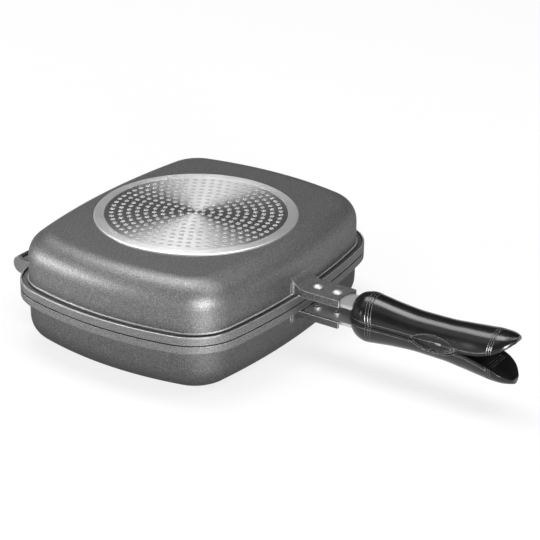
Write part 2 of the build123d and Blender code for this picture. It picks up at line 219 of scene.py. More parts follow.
def noise(point, grain, detail=2.0, roughness=0.5, stretch=None):
    """Smooth noise, about 0.5 in the middle. The grain is a length, and stretch draws it out."""
    if stretch:
        point = point.node("ShaderNodeVectorMath", {"operation": "MULTIPLY"}, [point, stretch])
    inputs = {"Vector": point, "Scale": 1.0 / grain, "Detail": detail, "Roughness": roughness}
    return point.node("ShaderNodeTexNoise", {}, inputs)


def tone(value, *stops):
    """A grey that follows a value through stops, each a place and a grey."""
    return value.node("ShaderNodeValToRGB", {"stops": stops}, [value])


def mixed(factor, first, second):
    """A colour that goes from the first to the second as the factor goes from 0 to 1."""
    inputs = {0: factor, 6: first, 7: second}
    return factor.node("ShaderNodeMix", {"data_type": "RGBA"}, inputs, 2)


print("a grain of 1 mm is a noise scale of", round(1 / MM))

# %% [markdown]
# No real edge is perfectly sharp: each catches a line of light, and a coating wears off it first.
# The edges could be rounded in the mesh, but the CAD meshes aren't changed here, so the Bevel node
# rounds them for the light only. Where its direction leaves the true one there is an edge, and that
# gives the mask for wear and for a painted edge highlight as well. Grain and lathe rings too fine
# for the mesh become a bump whose height is in metres.

# %% Helpers for edges and relief
BEVEL_SAMPLES = 6
EDGE_STOPS = ((0.03, 0.0), (0.15, 1.0))
# Width of the rounded edges, and of the mask for edge wear and painted edge highlight.
EDGE_WEAR_AND_HIGHLIGHT_WIDTH = 0.8 * MM


def soft_edges(start, radius):
    """The surface's direction, as if its sharp edges were rounded."""
    return start.node("ShaderNodeBevel", {"samples": BEVEL_SAMPLES}, {"Radius": radius})


def edge_mask(rounded):
    """1 on sharp edges and 0 elsewhere: where the rounded direction leaves the true one."""
    true_way = rounded.node("ShaderNodeNewGeometry", output="Normal")
    settings = {"operation": "DOT_PRODUCT"}
    agree = rounded.node("ShaderNodeVectorMath", settings, [rounded, true_way], "Value")
    return tone(1 - agree, *EDGE_STOPS)


def relief(height, rounded):
    """A bump from a height in metres, on a surface with soft edges."""
    inputs = {"Strength": 1.0, "Distance": 1.0, "Height": height, "Normal": rounded}
    return height.node("ShaderNodeBump", {}, inputs)


def finish_with(start, **inputs):
    """Closes a material. The names are the main shader's, with underscores for spaces."""
    named = {key.replace("_", " "): value for key, value in inputs.items()}
    shader = start.node("ShaderNodeBsdfPrincipled", {}, named)
    start.node("ShaderNodeOutputMaterial", {}, {"Surface": shader})


# Over this width the edges are also painted with a highlight.
print("edges wear over", round(EDGE_WEAR_AND_HIGHLIGHT_WIDTH / MM, 1), "mm")

# %% [markdown]
# The set is a product studio. The object stands on a wide pale floor that turns up at its far edge,
# so that a low camera sees no end to it. A floor lit until it is white would throw that light back
# on the pan, so this one is dark to the lamps and glows a little for the camera and in reflections,
# and only there. It looks white in the picture and in the metal, and still takes the pan's shadow.

# %% Floor
FLOOR_RADIUS = 12.0
FLOOR_SIDES = 96
FLOOR_Z = -0.1 * MM
UPTURN_HEIGHT = 1.9
FLOOR_ALBEDO = 0.14
GLOW_REACH = 2.4
GLOW_STOPS = ((0.15, 0.80), (1.0, 0.93))


def seen_as_background(start):
    """1 for camera rays and for mirror and glass rays, else 0."""
    kinds = ("Is Camera Ray", "Is Glossy Ray", "Is Transmission Ray")
    camera_ray, glossy, through = [start.node("ShaderNodeLightPath", output=k) for k in kinds]
    return start.math("MAXIMUM", start.math("MAXIMUM", camera_ray, glossy), through)


def floor_mesh():
    """A wide disc just under the pan's bosses, with an upturned edge."""
    ring = [2 * math.pi * step / FLOOR_SIDES for step in range(FLOOR_SIDES)]
    edge = [(FLOOR_RADIUS * math.cos(a), FLOOR_RADIUS * math.sin(a)) for a in ring]
    corners = [(x, y, z) for z in (FLOOR_Z, UPTURN_HEIGHT) for x, y in edge]
    after = [(step + 1) % FLOOR_SIDES for step in range(FLOOR_SIDES)]
    upturn = [
        (n + FLOOR_SIDES, after[n] + FLOOR_SIDES, after[n], n) for n in range(FLOOR_SIDES)
    ]
    mesh = bpy.data.meshes.new("floor")
    mesh.from_pydata(corners, [], [tuple(range(FLOOR_SIDES)), *upturn])
    return mesh


def pale_floor():
    """Matt grey to the lamps, and near white to the camera."""
    material, start = fresh_material("pale_floor")
    _, (x, y, _) = own_place(start)
    finish_with(
        start,
        Base_Color=grey(FLOOR_ALBEDO),
        Roughness=1.0,
        Specular_IOR_Level=0.0,
        Emission_Color=tone(from_middle(x, y) / GLOW_REACH, *GLOW_STOPS),
        Emission_Strength=seen_as_background(start),
    )
    return material


floor = link("floor", floor_mesh())
floor.data.materials.append(pale_floor())
print("floor radius", FLOOR_RADIUS, "with", len(floor.data.polygons), "faces")

# %% [markdown]
# Metal and glossy black show the lamps more than their own colour, so each lamp is placed for the
# highlight that it draws. A large one high on the left draws the long highlight on the handle, and
# a weak one in front of it lets that highlight fall off slowly. One overhead draws the fan of light
# on the turned plate, one at the upper right rounds off the near corner, and two low ones, right
# and left, light the walls. Point lamps would leave hard dots on the metal, so all six are soft
# rectangles. Each is given by its radiance, because that is what a highlight shows of a lamp.

# %% Lamps
LAMP_AIM = Vector((0.1, 0, SEAM_Z))
LAMPS = {
    "key": {"at": (-0.52, 0.05, 1.75), "size": (1.12, 0.80), "radiance": 8.2},
    "fill": {"at": (-0.85, -0.95, 1.50), "size": (1.40, 0.80), "radiance": 0.8},
    "overhead": {"at": (0.0, 0.0, 2.10), "size": (1.10, 1.10), "radiance": 3.2},
    "upper_right": {"at": (1.05, 0.15, 1.70), "size": (0.90, 0.80), "radiance": 7.0},
    "corner": {"at": (1.55, -1.10, 0.25), "size": (0.50, 0.45), "radiance": 66.0},
    "long_wall": {"at": (-1.54, -1.38, 0.42), "size": (1.05, 0.36), "radiance": 27.0},
}


def make_lamp(name, at, size, radiance):
    """A rectangular soft lamp that faces the pan, its first side level and along the handle."""
    lamp = bpy.data.lights.new(name, "AREA")
    lamp.shape = "RECTANGLE"
    lamp.size, lamp.size_y = size
    lamp.energy = radiance * math.pi * size[0] * size[1]
    backwards = (Vector(at) - LAMP_AIM).normalized()
    across = Vector((1, 0, 0)).cross(backwards).normalized()
    along = across.cross(backwards)
    matrix = Matrix((-along, -across, backwards)).transposed().to_4x4()
    matrix.translation = at
    holder = link(name, lamp)
    holder.matrix_world = matrix
    holder.visible_camera = False


for lamp_name, settings in LAMPS.items():
    make_lamp(lamp_name, **settings)
print(len(LAMPS), "lamps")

# %% [markdown]
# The room is pale near the horizon and dark overhead, as a studio with a dark ceiling is, and one
# side of it is darker. Glossy black and bare metal only look black and metallic when they have
# something dark to reflect. A photographed room would do this too, but two short ramps over the
# direction are enough for it and read no file.

# %% Room
HORIZON_STOPS = ((0.07, 0.40), (0.26, 0.10))
OPEN_SIDE_STOPS = ((0.40, 1.0), (0.62, 0.12))
OPEN_SIDE = (0.35, 0.25)


def make_room():
    """World that fades from a pale horizon to a dark ceiling, and is brighter on its open side."""
    world = bpy.data.worlds.new("room")
    bpy.context.scene.world = world
    world.use_nodes = True
    world.node_tree.nodes.clear()
    start = Wire(world.node_tree)
    way = start.node("ShaderNodeTexCoord", output="Generated")
    x, y, rise = [start.node("ShaderNodeSeparateXYZ", {}, [way], axis) for axis in "XYZ"]
    level = tone(rise, *HORIZON_STOPS)
    open_side = tone(x * OPEN_SIDE[0] + y * OPEN_SIDE[1] + 0.5, *OPEN_SIDE_STOPS)
    light = start.node("ShaderNodeBackground", {}, {"Color": level, "Strength": open_side})
    start.node("ShaderNodeOutputWorld", {}, {"Surface": light})


make_room()
bpy.context.scene.view_settings.view_transform = "Standard"
print("room greys:", [level for _, level in HORIZON_STOPS])

# %% [markdown]
# The casting is aluminium under a dark coating, but not everywhere alike. Around each base plate
# the coating has been turned away and the metal is bare. The gap at the seam is painted dark, as
# painted shade. The narrow lip on top of the rim is painted lighter, as a painted highlight, the
# rim and hinge are a little lighter than the walls, and the edges are lighter, partly from wear and
# partly as painted highlight, except in the channel under the rim and where the bracket runs into
# the wall. The faces could be given separate materials, but the zones don't follow the faces'
# borders, and it is one casting. So it has one material, and masks by height, radius and place say
# where each zone is.

# %% Zones of the casting
PLATE_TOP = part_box("upper_induction_plate")[1].z
BARE_RADIUS = 94.91 * MM
BARE_DEPTH = 1.0 * MM
CHANNEL_LOW = 1.2 * MM
CHANNEL_HIGH = 7.0 * MM
SEAM_SHADE = 0.55 * MM
RIM_HEIGHT = 7.9 * MM
LIP_TOP = 8.4 * MM
LEVEL_ENOUGH = 0.7
BRACKET_X = 100 * MM
BRACKET_EDGE_TOP = 19 * MM
HINGE_X = -126.2 * MM


def casting_zones(start, radius, x, z):
    """Masks for the casting, each 1 inside its zone and 0 elsewhere. Heights are from the seam."""
    height = abs(z - SEAM_Z)
    way = start.node("ShaderNodeNewGeometry", output="Normal")
    level_face = abs(start.node("ShaderNodeSeparateXYZ", {}, [way], "Z")) > LEVEL_ENOUGH
    on_hinge = x < HINGE_X
    on_bracket = x > BRACKET_X
    return {
        "bare": (radius < BARE_RADIUS) * (height > PLATE_TOP - SEAM_Z - BARE_DEPTH),
        "channel": (height > CHANNEL_LOW) * (height < CHANNEL_HIGH),
        # The gap at the seam, painted dark as painted shade.
        "seam": (height < SEAM_SHADE) * (1 - on_hinge),
        # Level faces of the rim's lip, which get a painted highlight.
        "lip": level_face * (height > RIM_HEIGHT) * (height < LIP_TOP),
        "rim": on_hinge.math("MAXIMUM", on_hinge, height < RIM_HEIGHT),
        "bracket": on_bracket,
        "above_bracket": on_bracket * (height > BRACKET_EDGE_TOP),
    }


print("bare metal within", round(BARE_RADIUS / MM, 1), "mm of the middle")

# %% [markdown]
# Close up, the coating is a mottle of lighter and darker grains about a millimetre across, with a
# few bright flecks of metal in it. A speckle can be scattered as small pieces, painted, or drawn by
# noise. Noise is used here, because it is even in all directions and has no seams: one field makes
# both the greys and the relief, so that light grains also stand up. Painted shade darkens the lower
# pan's coat towards its base, which keeps the white floor from brightening it too much.

# %% Colour of the coat
FLECK_SIZE = 2.6 * MM
FLECK_REACH = 0.12
FLECK_LEVEL = 0.54
GRAIN_STOPS = ((0.30, 0.095), (0.50, 0.16), (0.70, 0.275))
# Painted shade: the lower pan's coat darkens towards its base, and its rim stays light.
LOWER_SHADE_STOPS = ((0.0, 0.40), (0.84, 0.72), (0.86, 1.0))
# The dark of the painted shade, low on the lower pan and in the seam.
SHADE_COLOUR = grey(0.02)
WHITE = grey(1.0)
RIM_LIGHTER = 0.03
# Painted highlight: the lip's top is painted light for the bright line its edge catches.
LIP_HIGHLIGHT_COLOUR = grey(0.42)
FLECK_COLOUR = grey(0.34)
# Edge colours: partly wear, partly painted highlight; the bracket's is nearly all highlight.
EDGE_WEAR_AND_HIGHLIGHT_COLOUR = grey(0.62)
BRACKET_EDGE_WEAR_AND_HIGHLIGHT_COLOUR = grey(0.95)


def coat_colour(point, z, mottle, wear_and_highlight, zones):
    """Speckled grey, lighter rim, flecks, painted shade and highlights, worn and highlit edges."""
    # Painted shade at the seam and low on the lower pan; a painted highlight on the lip.
    body = mixed(tone(z / SEAM_Z, *LOWER_SHADE_STOPS), SHADE_COLOUR, tone(mottle, *GRAIN_STOPS))
    body = mixed(zones["rim"] * RIM_LIGHTER, mixed(zones["lip"], body, LIP_HIGHLIGHT_COLOUR), WHITE)
    cells = point.node("ShaderNodeTexVoronoi", {}, {"Vector": point, "Scale": 1 / FLECK_SIZE})
    fleck = (cells < FLECK_REACH) * (mottle > FLECK_LEVEL)
    rubbed_and_highlit = mixed(zones["bracket"], EDGE_WEAR_AND_HIGHLIGHT_COLOUR, BRACKET_EDGE_WEAR_AND_HIGHLIGHT_COLOUR)
    coat = mixed(wear_and_highlight, mixed(fleck, body, FLECK_COLOUR), rubbed_and_highlit)
    return mixed(zones["seam"], coat, SHADE_COLOUR)


print("flecks about", round(FLECK_SIZE / MM, 1), "mm apart")

# %% [markdown]
# The whole casting is metallic but rough, so that it gathers the lamps into broad soft highlights,
# as a coating full of metal powder does. The bare ring round the plate is a little smoother and
# shows the fine rings from the lathe. A ring for each pass of the tool would take thousands of
# faces, and a sine of the radius draws them all.

# %% Coated casting
TURNING_PITCH = 0.42 * MM
COAT_GRAIN = 1.0 * MM
COAT_DEPTH = 0.045 * MM
CLOUD_SIZE = 18 * MM
BARE_RING_DEPTH = 0.03 * MM
BARE_COLOUR = grey(0.74)
COAT_METALLIC = 0.86
BARE_MORE_METALLIC = 0.12
COAT_ROUGHNESS = 0.48
CLOUD_ROUGHER = 0.06
BARE_SMOOTHER = 0.07
# Zones whose edges get neither wear nor painted highlight.
PLAIN_EDGE_ZONES = ("channel", "bare", "seam", "above_bracket")


def turning_marks(radius):
    """The fine rings that a lathe leaves, from -1 to 1."""
    return radius.math("SINE", radius * (2 * math.pi / TURNING_PITCH))


def coated_casting():
    """Speckled coating, bare turned pad, and rim edges worn and painted with a highlight."""
    material, start = fresh_material("coated_casting")
    point, (x, y, z) = own_place(start)
    radius = from_middle(x, y)
    zones = casting_zones(start, radius, x, z)
    bare = zones["bare"]
    rounded = soft_edges(start, EDGE_WEAR_AND_HIGHLIGHT_WIDTH)
    wear_and_highlight = edge_mask(rounded)
    for zone in PLAIN_EDGE_ZONES:
        wear_and_highlight = wear_and_highlight * (1 - zones[zone])
    mottle = noise(point, COAT_GRAIN, detail=3.0, roughness=0.6)
    cloud = noise(point, CLOUD_SIZE)
    coat_relief = mottle * (1 - bare) * COAT_DEPTH
    bare_relief = turning_marks(radius) * bare * BARE_RING_DEPTH
    finish_with(
        start,
        Base_Color=mixed(bare, coat_colour(point, z, mottle, wear_and_highlight, zones), BARE_COLOUR),
        Metallic=bare * BARE_MORE_METALLIC + COAT_METALLIC,
        Roughness=cloud * CLOUD_ROUGHER + COAT_ROUGHNESS - bare * BARE_SMOOTHER,
        Specular_IOR_Level=0.25,
        Specular_Tint=grey(0.35),
        Normal=relief(coat_relief + bare_relief, rounded),
    )
    return material


def dress(node_names, material):
    """Gives a material to nodes of the engineering model."""
    for name in node_names:
        node = nodes[name]
        node.data.materials.clear()
        node.data.materials.append(material)


def both(part):
    """A part's two names, in the upper and in the lower half."""
    return [f"upper_{part}", f"lower_{part}"]


dress(both("pan"), coated_casting())
print("casting finished:", both("pan"))

# %% [markdown]
# The base plate is magnetic steel, pressed in so that the pan works on an induction hob, and then
# faced on a lathe. Its fine rings spread each lamp into a fan of light that turns with the eye. The
# rings could be cut as relief alone, but at this pitch that only sparkles. So the shader's own
# anisotropy makes the fan, with a trace of relief under it.

# %% Base plates
PLATE_WEAR_SIZE = 6 * MM
PLATE_STOPS = ((0.3, 0.56), (0.7, 0.63))
PLATE_ROUGHNESS = 0.38
PLATE_WEAR_ROUGHER = 0.08
PLATE_RING_DEPTH = 0.004 * MM
PLATE_EDGE = 0.2 * MM


def turned_steel():
    """Base plate: magnetic steel with lathe rings."""
    material, start = fresh_material("turned_steel")
    point, (x, y, _) = own_place(start)
    wear = noise(point, PLATE_WEAR_SIZE, detail=3.0)
    rings = turning_marks(from_middle(x, y)) * PLATE_RING_DEPTH
    finish_with(
        start,
        Base_Color=tone(wear, *PLATE_STOPS),
        Metallic=1.0,
        Roughness=wear * PLATE_WEAR_ROUGHER + PLATE_ROUGHNESS,
        Anisotropic=0.78,
        Anisotropic_Rotation=0.25,
        Normal=relief(rings, soft_edges(start, PLATE_EDGE)),
    )
    return material


dress(both("induction_plate"), turned_steel())
print("turning marks every", round(TURNING_PITCH / MM, 2), "mm")

# %% [markdown]
# The tangs, pins, screws, rivets, inserts, magnets and cups are small metal parts, each of one
# metal with fine scratches and faint smudges of handling. They could each have a material drawn by
# hand. One recipe serves them all, because they differ only in colour, in roughness, and in whether
# their scratches run one way, as they do on brushed strip steel.

# %% Small metal parts
SCRATCH_SIZE = 0.5 * MM
SCRATCH_ROUGHER = 0.10
SCRATCH_DEPTH = 0.01 * MM
SMUDGE_SIZE = 9 * MM
SMUDGE_SHADE = 0.94
METAL_EDGE = 0.4 * MM
BRUSHED_ALONG_X = (0.04, 1.0, 1.0)


def plain_metal(name, colour, roughness, stretch=None):
    """Metal with a fine grain, which stretch can draw out."""
    smudged = [SMUDGE_SHADE * part for part in colour[:3]] + [1.0]
    material, start = fresh_material(name)
    point, _ = own_place(start)
    scratches = noise(point, SCRATCH_SIZE, detail=3.0, roughness=0.6, stretch=stretch)
    smudge = noise(point, SMUDGE_SIZE)
    finish_with(
        start,
        Base_Color=mixed(smudge, smudged, colour),
        Metallic=1.0,
        Roughness=scratches * SCRATCH_ROUGHER + roughness,
        Normal=relief(scratches * SCRATCH_DEPTH, soft_edges(start, METAL_EDGE)),
    )
    return material


SMALL_PARTS = {
    "bright_steel": (
        both("tang") + both("grip_screw") + ["left_hinge_pin", "right_hinge_pin"],
        {"colour": grey(0.70), "roughness": 0.42, "stretch": BRUSHED_ALONG_X},
    ),
    "rivet_metal": (both("bracket_rivets"), {"colour": grey(0.50), "roughness": 0.52}),
    "insert_brass": (both("insert"), {"colour": (0.70, 0.47, 0.16, 1.0), "roughness": 0.3}),
    "magnet_grey": (both("magnet"), {"colour": grey(0.2), "roughness": 0.45}),
    "cup_chrome": (both("magnet_cup"), {"colour": grey(0.85), "roughness": 0.06}),
}
for slot, (node_names, look) in SMALL_PARTS.items():
    dress(node_names, plain_metal(slot, **look))
print("metals of the small parts:", list(SMALL_PARTS))

# %% [markdown]
# The handle is black phenolic resin, moulded under heat, with a soft gloss and the faint orange
# peel of the mould. Pure black would look like a hole, and a perfect gloss like glass. So a haze
# varies both a little, and the sharp edges are painted lighter, partly as wear where hands have
# rubbed them and partly as a painted highlight.

# %% Handle resin
HAZE_SIZE = 14 * MM
RESIN_STOPS = ((0.3, 0.004), (0.7, 0.007))
# Edges painted lighter, partly as wear and partly as painted highlight.
RESIN_EDGE_WEAR_AND_HIGHLIGHT = grey(0.26)
RESIN_ROUGHNESS = 0.18
HAZE_ROUGHER = 0.08
PEEL_SIZE = 2.2 * MM
PEEL_DEPTH = 0.01 * MM
RESIN_EDGE = 0.3 * MM


def handle_resin():
    """Black phenolic moulding: a soft gloss with the faint orange peel of the mould."""
    material, start = fresh_material("handle_resin")
    point, _ = own_place(start)
    haze = noise(point, HAZE_SIZE, detail=3.0)
    rubbed_and_highlit = edge_mask(soft_edges(start, EDGE_WEAR_AND_HIGHLIGHT_WIDTH))
    peel = noise(point, PEEL_SIZE) * PEEL_DEPTH
    finish_with(
        start,
        Base_Color=mixed(rubbed_and_highlit, tone(haze, *RESIN_STOPS), RESIN_EDGE_WEAR_AND_HIGHLIGHT),
        Roughness=haze * HAZE_ROUGHER + RESIN_ROUGHNESS,
        Specular_IOR_Level=0.42,
        Normal=relief(peel, soft_edges(start, RESIN_EDGE)),
    )
    return material


resin = handle_resin()
dress(both("grip"), resin)
print("resin finished:", resin.name)

# %% [markdown]
# A silicone seal lies in a groove of the lower rim and keeps the juices in when the pan is turned
# over. It shows only with the pan open. Silicone is matt and holds dust, so its grey and its
# roughness follow one soft noise, and it has no relief of its own.

# %% Rim seal
DUST_SIZE = 1.5 * MM
SEAL_STOPS = ((0.3, 0.045), (0.7, 0.065))
SEAL_ROUGHNESS = 0.55
DUST_ROUGHER = 0.1


def seal_rubber():
    """Dark silicone."""
    material, start = fresh_material("seal_rubber")
    point, _ = own_place(start)
    dust = noise(point, DUST_SIZE, detail=3.0)
    finish_with(
        start,
        Base_Color=tone(dust, *SEAL_STOPS),
        Roughness=dust * DUST_ROUGHER + SEAL_ROUGHNESS,
    )
    return material


dress(["rim_seal"], seal_rubber())
print("nodes without a finish:", [name for name in nodes if not nodes[name].data.materials])

# %% [markdown]
# The steel plate is pressed into the soft aluminium, which rises through its holes as 330 small
# bosses. The holes lie in ten rings, and each ring has six more of them than the one inside it, so
# that they are about equally far apart everywhere. Their places could be typed in one by one, but
# the pitch of the rings gives them all, and it is the one that the engineering model's holes have.

# %% Holes of the plate
HOLE_RINGS = 10
FIRST_RING = 7.3 * MM
RING_PITCH = 7.9 * MM
HOLES_PER_STEP = 6


def hole_places():
    """Middle of each hole in the plate."""
    for ring in range(HOLE_RINGS):
        count = HOLES_PER_STEP * (ring + 1)
        reach = FIRST_RING + ring * RING_PITCH
        for step in range(count):
            angle = 2 * math.pi * step / count
            yield reach * math.cos(angle), reach * math.sin(angle)


print("bosses per plate:", len(list(hole_places())))

# %% [markdown]
# On the real pan the bosses are flush with the plate, slightly domed, and brighter than the steel.
# They could be instances of one boss, but 330 objects would be slow to handle and would have to be
# joined for the export. So each is a shallow turned form with a rounded rim, given by the radius
# and height of its profile in millimetres, and all the bosses of one plate are one mesh.

# %% Bosses
BOSS_SIDES = 14
BOSS_PROFILE = ((2.40, -0.75), (2.38, -0.12), (2.22, 0.01), (1.70, 0.05), (0.0, 0.09))


def boss_points(x, y, face_z, up):
    """Rings of points up one boss, and its top. Up is 1 where the plate faces up, else -1."""
    points = []
    for radius, height in BOSS_PROFILE[:-1]:
        reach, z = radius * MM, face_z + up * height * MM
        for side in range(BOSS_SIDES):
            turn = up * 2 * math.pi * side / BOSS_SIDES
            points.append((x + reach * math.cos(turn), y + reach * math.sin(turn), z))
    points.append((x, y, face_z + up * BOSS_PROFILE[-1][1] * MM))
    return points


def boss_faces(base):
    """Faces of one boss, whose first point has the number given."""
    faces = []
    for level in range(len(BOSS_PROFILE) - 2):
        for side in range(BOSS_SIDES):
            a = base + level * BOSS_SIDES + side
            b = base + level * BOSS_SIDES + (side + 1) % BOSS_SIDES
            faces.append((a, b, b + BOSS_SIDES, a + BOSS_SIDES))
    rim = base + (len(BOSS_PROFILE) - 2) * BOSS_SIDES
    top = rim + BOSS_SIDES
    faces += [(rim + side, rim + (side + 1) % BOSS_SIDES, top) for side in range(BOSS_SIDES)]
    return faces


def make_bosses(half, body, face_z, up):
    """The bosses of one plate."""
    points, faces = [], []
    for x, y in hole_places():
        faces += boss_faces(len(points))
        points += boss_points(x, y, face_z, up)
    mesh = bpy.data.meshes.new(f"{half}_plate_bosses")
    mesh.from_pydata(points, [], faces)
    mesh.shade_smooth()
    mesh.materials.append(boss_metal)
    bosses = link(mesh.name, mesh)
    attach(bosses, body)
    print(mesh.name, "has", len(faces), "faces")


boss_metal = plain_metal("boss_metal", grey(0.50), 0.56)
make_bosses("upper", "lid", PLATE_TOP, 1)
make_bosses("lower", "base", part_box("lower_induction_plate")[0].z, -1)

# %% [markdown]
# The handle is one shape, cut lengthwise into an upper and a lower half. Seen along the handle,
# each half is half an ellipse that stands on a flat inner face. Its width and height swell at the
# nose, narrow in the palm, and swell again towards the tail, where the inner faces curl away from
# each other so that fingers can part them. It could be sculpted by eye, but it has to lie where the
# engineering model's grip lies. So both use one table, with the distance from the nose, the half
# width, the height and the curl of the inner face at 17 places, in millimetres.

# %% Handle sizes
GRIP_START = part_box("upper_grip")[0].x
GRIP_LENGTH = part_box("upper_grip")[1].x - GRIP_START
INNER_FACE = 0.15 * MM
STATIONS = (
    (0.0, 4.0, 5.0, 0.0),
    (1.0, 8.3, 10.2, 0.0),
    (3.0, 12.2, 15.0, 0.0),
    (6.0, 15.5, 18.9, 0.0),
    (10.5, 18.3, 21.8, 0.0),
    (18.2, 20.2, 23.5, 0.0),
    (28.2, 19.4, 22.4, 0.0),
    (45.2, 18.3, 20.2, 0.0),
    (69.2, 17.8, 18.5, 0.0),
    (95.2, 17.7, 19.0, 0.0),
    (113.2, 18.6, 20.7, 0.1),
    (131.2, 19.5, 22.5, 2.5),
    (144.2, 18.6, 23.6, 6.8),
    (152.0, 16.2, 23.5, 10.8),
    (157.0, 12.2, 23.2, 14.0),
    (160.0, 8.2, 22.9, 16.4),
    (161.8, 4.0, 22.6, 18.2),
)
print("handle length:", round(GRIP_LENGTH / MM, 1), "mm, given at", len(STATIONS), "places")

# %% [markdown]
# Between the places of the table the handle is smooth, as a moulded grip is. Straight pieces would
# show as bands in the shine, and an ordinary spline swings out beyond its points where the shape
# turns quickly. The curve here never overshoots, because its slope at a point is the harmonic mean
# of the slopes on either side. It runs over an angle instead of the distance, which opens out both
# ends of the handle, so that they come out round.

# %% Curves through the table
def swept_angle(distance):
    """Places along the handle as an angle, which opens out both rounded ends."""
    share = min(max(distance / (GRIP_LENGTH / MM), 0.0), 1.0)
    return math.acos(1 - 2 * share)


def slopes(places, values):
    """Slopes for a smooth curve through points that never overshoots them."""
    steps = [b - a for a, b in zip(places, places[1:])]
    rises = [(b - a) / step for a, b, step in zip(values, values[1:], steps)]
    inner = []
    for before, after in zip(rises, rises[1:]):
        flat = before * after <= 0
        inner.append(0.0 if flat else 2 * before * after / (before + after))
    return [rises[0], *inner, rises[-1]]


def smooth_curve(places, values):
    """A function that passes smoothly through the given values."""
    tangents = slopes(places, values)

    def at(place):
        index = max(0, min(len(places) - 2, sum(place >= p for p in places) - 1))
        step = places[index + 1] - places[index]
        t = (place - places[index]) / step
        a, b = values[index], values[index + 1]
        rise_a, rise_b = tangents[index] * step, tangents[index + 1] * step
        return (
            a * (1 + 2 * t) * (1 - t) ** 2
            + rise_a * t * (1 - t) ** 2
            + b * t * t * (3 - 2 * t)
            - rise_b * t * t * (1 - t)
        )

    return at


angles = [swept_angle(station[0]) for station in STATIONS]
half_width_at, crown_at, curl_at = [
    smooth_curve(angles, [station[column] for station in STATIONS]) for column in (1, 2, 3)
]
PALM = 80.0
print("half width in the palm:", round(half_width_at(swept_angle(PALM)), 1), "mm")

# %% [markdown]
# Three fine rings run round the handle behind the nose, and three more near the tail. Where the
# halves meet, each has a small round edge, and a fine line runs 3 mm from it. In the side is a
# lens-shaped scoop that goes down in three terraces, with a small window in its floor. All of these
# are shallow, and a bump could draw them, but it would lose them in the outline and at the edges.
# So they are drawn in the surface itself. From here to the skin, sizes are in millimetres.

# %% Small forms of the handle
FRONT_RINGS = (18.9, 21.5, 24.1)
TAIL_RINGS = (140.9, 142.9, 144.8)
RING_HALF_WIDTH = 0.60
LINE_HEIGHT = 3.0
LINE_HALF_WIDTH = 0.45
SCOOP_MIDDLE = 89.0
TERRACES = (
    {"half_length": 24.0, "half_height": 8.6, "floor": 15.3},
    {"half_length": 21.4, "half_height": 7.2, "floor": 14.5},
    {"half_length": 18.5, "half_height": 5.8, "floor": 13.9},
)
print(len(FRONT_RINGS + TAIL_RINGS), "rings and", len(TERRACES), "terraces")

# %% [markdown]
# The surface of a half is a net of columns along the handle and rows round it. An evenly fine net
# would be very large, and a coarse one would lose the rings. So the columns and rows lie close
# together only at the ends, the rings, the line and the scoop, and wider apart elsewhere.

# %% Columns and rows of the net
RING_SHARES = (-1.3, -1, -0.7, -0.4, 0, 0.4, 0.7, 1, 1.3)
LINE_SHARES = (-1.4, -1, -0.55, 0, 0.55, 1, 1.4)
SCOOP_TOP = 9.6
SCOOP_MARGIN = 1.5
SCOOP_REACH = TERRACES[0]["half_length"] + SCOOP_MARGIN
SCOOP_COLUMN_STEP = 0.42
SCOOP_ROW_STEP = 0.40
NOSE_COLUMNS = (
    0, 0.25, 0.6, 1.1, 1.8, 2.7, 3.8, 5.1, 6.6, 8.3, 10.2, 12.2, 14.2, 16.0, 17.4,
)
TAIL_COLUMNS = (0, 0.2, 0.5, 1.0, 1.7, 2.6, 3.7, 5.0, 6.5, 8.2, 10.1, 12.1, 14.1)
PALM_START, PALM_STEP = 26, 1.8
REAR_END, REAR_STEP = 139, 1.6
GAP = 1.0
EDGE_ROWS = (0.0, 0.04, 0.12, 0.24, 0.40, 0.58, 0.75, 1.1, 1.5, 1.8, 2.0, 2.2)


def spread(low, high, step):
    """Evenly spaced numbers from low to high, about a step apart."""
    count = max(1, round((high - low) / step))
    return [low + (high - low) * index / count for index in range(count + 1)]


def grip_columns():
    """Distances from the nose at which the handle's net has a column."""
    ring_steps = [share * RING_HALF_WIDTH for share in RING_SHARES]
    rings = [ring + step for ring in FRONT_RINGS + TAIL_RINGS for step in ring_steps]
    ends = [*NOSE_COLUMNS, *(GRIP_LENGTH / MM - step for step in TAIL_COLUMNS)]
    palm = spread(PALM_START, SCOOP_MIDDLE - SCOOP_REACH - GAP, PALM_STEP)
    scoop = spread(SCOOP_MIDDLE - SCOOP_REACH, SCOOP_MIDDLE + SCOOP_REACH, SCOOP_COLUMN_STEP)
    rear = spread(SCOOP_MIDDLE + SCOOP_REACH + GAP, REAR_END, REAR_STEP)
    return sorted(rings + scoop + ends + palm + rear)


def grip_rows():
    """Heights above the inner face at which the lower part of the net has a row."""
    line = [LINE_HEIGHT + share * LINE_HALF_WIDTH for share in LINE_SHARES]
    return [*EDGE_ROWS, *line, *spread(LINE_HEIGHT + GAP, SCOOP_TOP, SCOOP_ROW_STEP)]


columns = grip_columns()
rows = grip_rows()
print(len(columns), "columns and", len(rows), "low rows")

# %% [markdown]
# The scoop gives the fingertips a hold. It goes down in three flat terraces, one inside the other,
# and each is lens-shaped: the part of a circle that stands above the parting line. They could be
# cut with Boolean lenses, but those leave hard, uneven faces on a curved side. So each terrace says
# how far out the handle's side may still stand at a point, and a smooth step joins it to the one
# before.

# %% Terraces of the scoop
SCOOP_LIP = 4.0
TERRACE_SLOPE = 0.6
WINDOW_FLOOR = 13.0
WINDOW_HALF_LENGTH = 6.5
WINDOW_HEIGHT = 0.8
WINDOW_SLOPE = 0.5
ON_FLOOR = 0.05


def bowl(offset, half_width):
    """A smooth dip: 1 in its middle and 0 from its half width on."""
    share = min(abs(offset) / half_width, 1.0)
    return (1 + math.cos(math.pi * share)) / 2


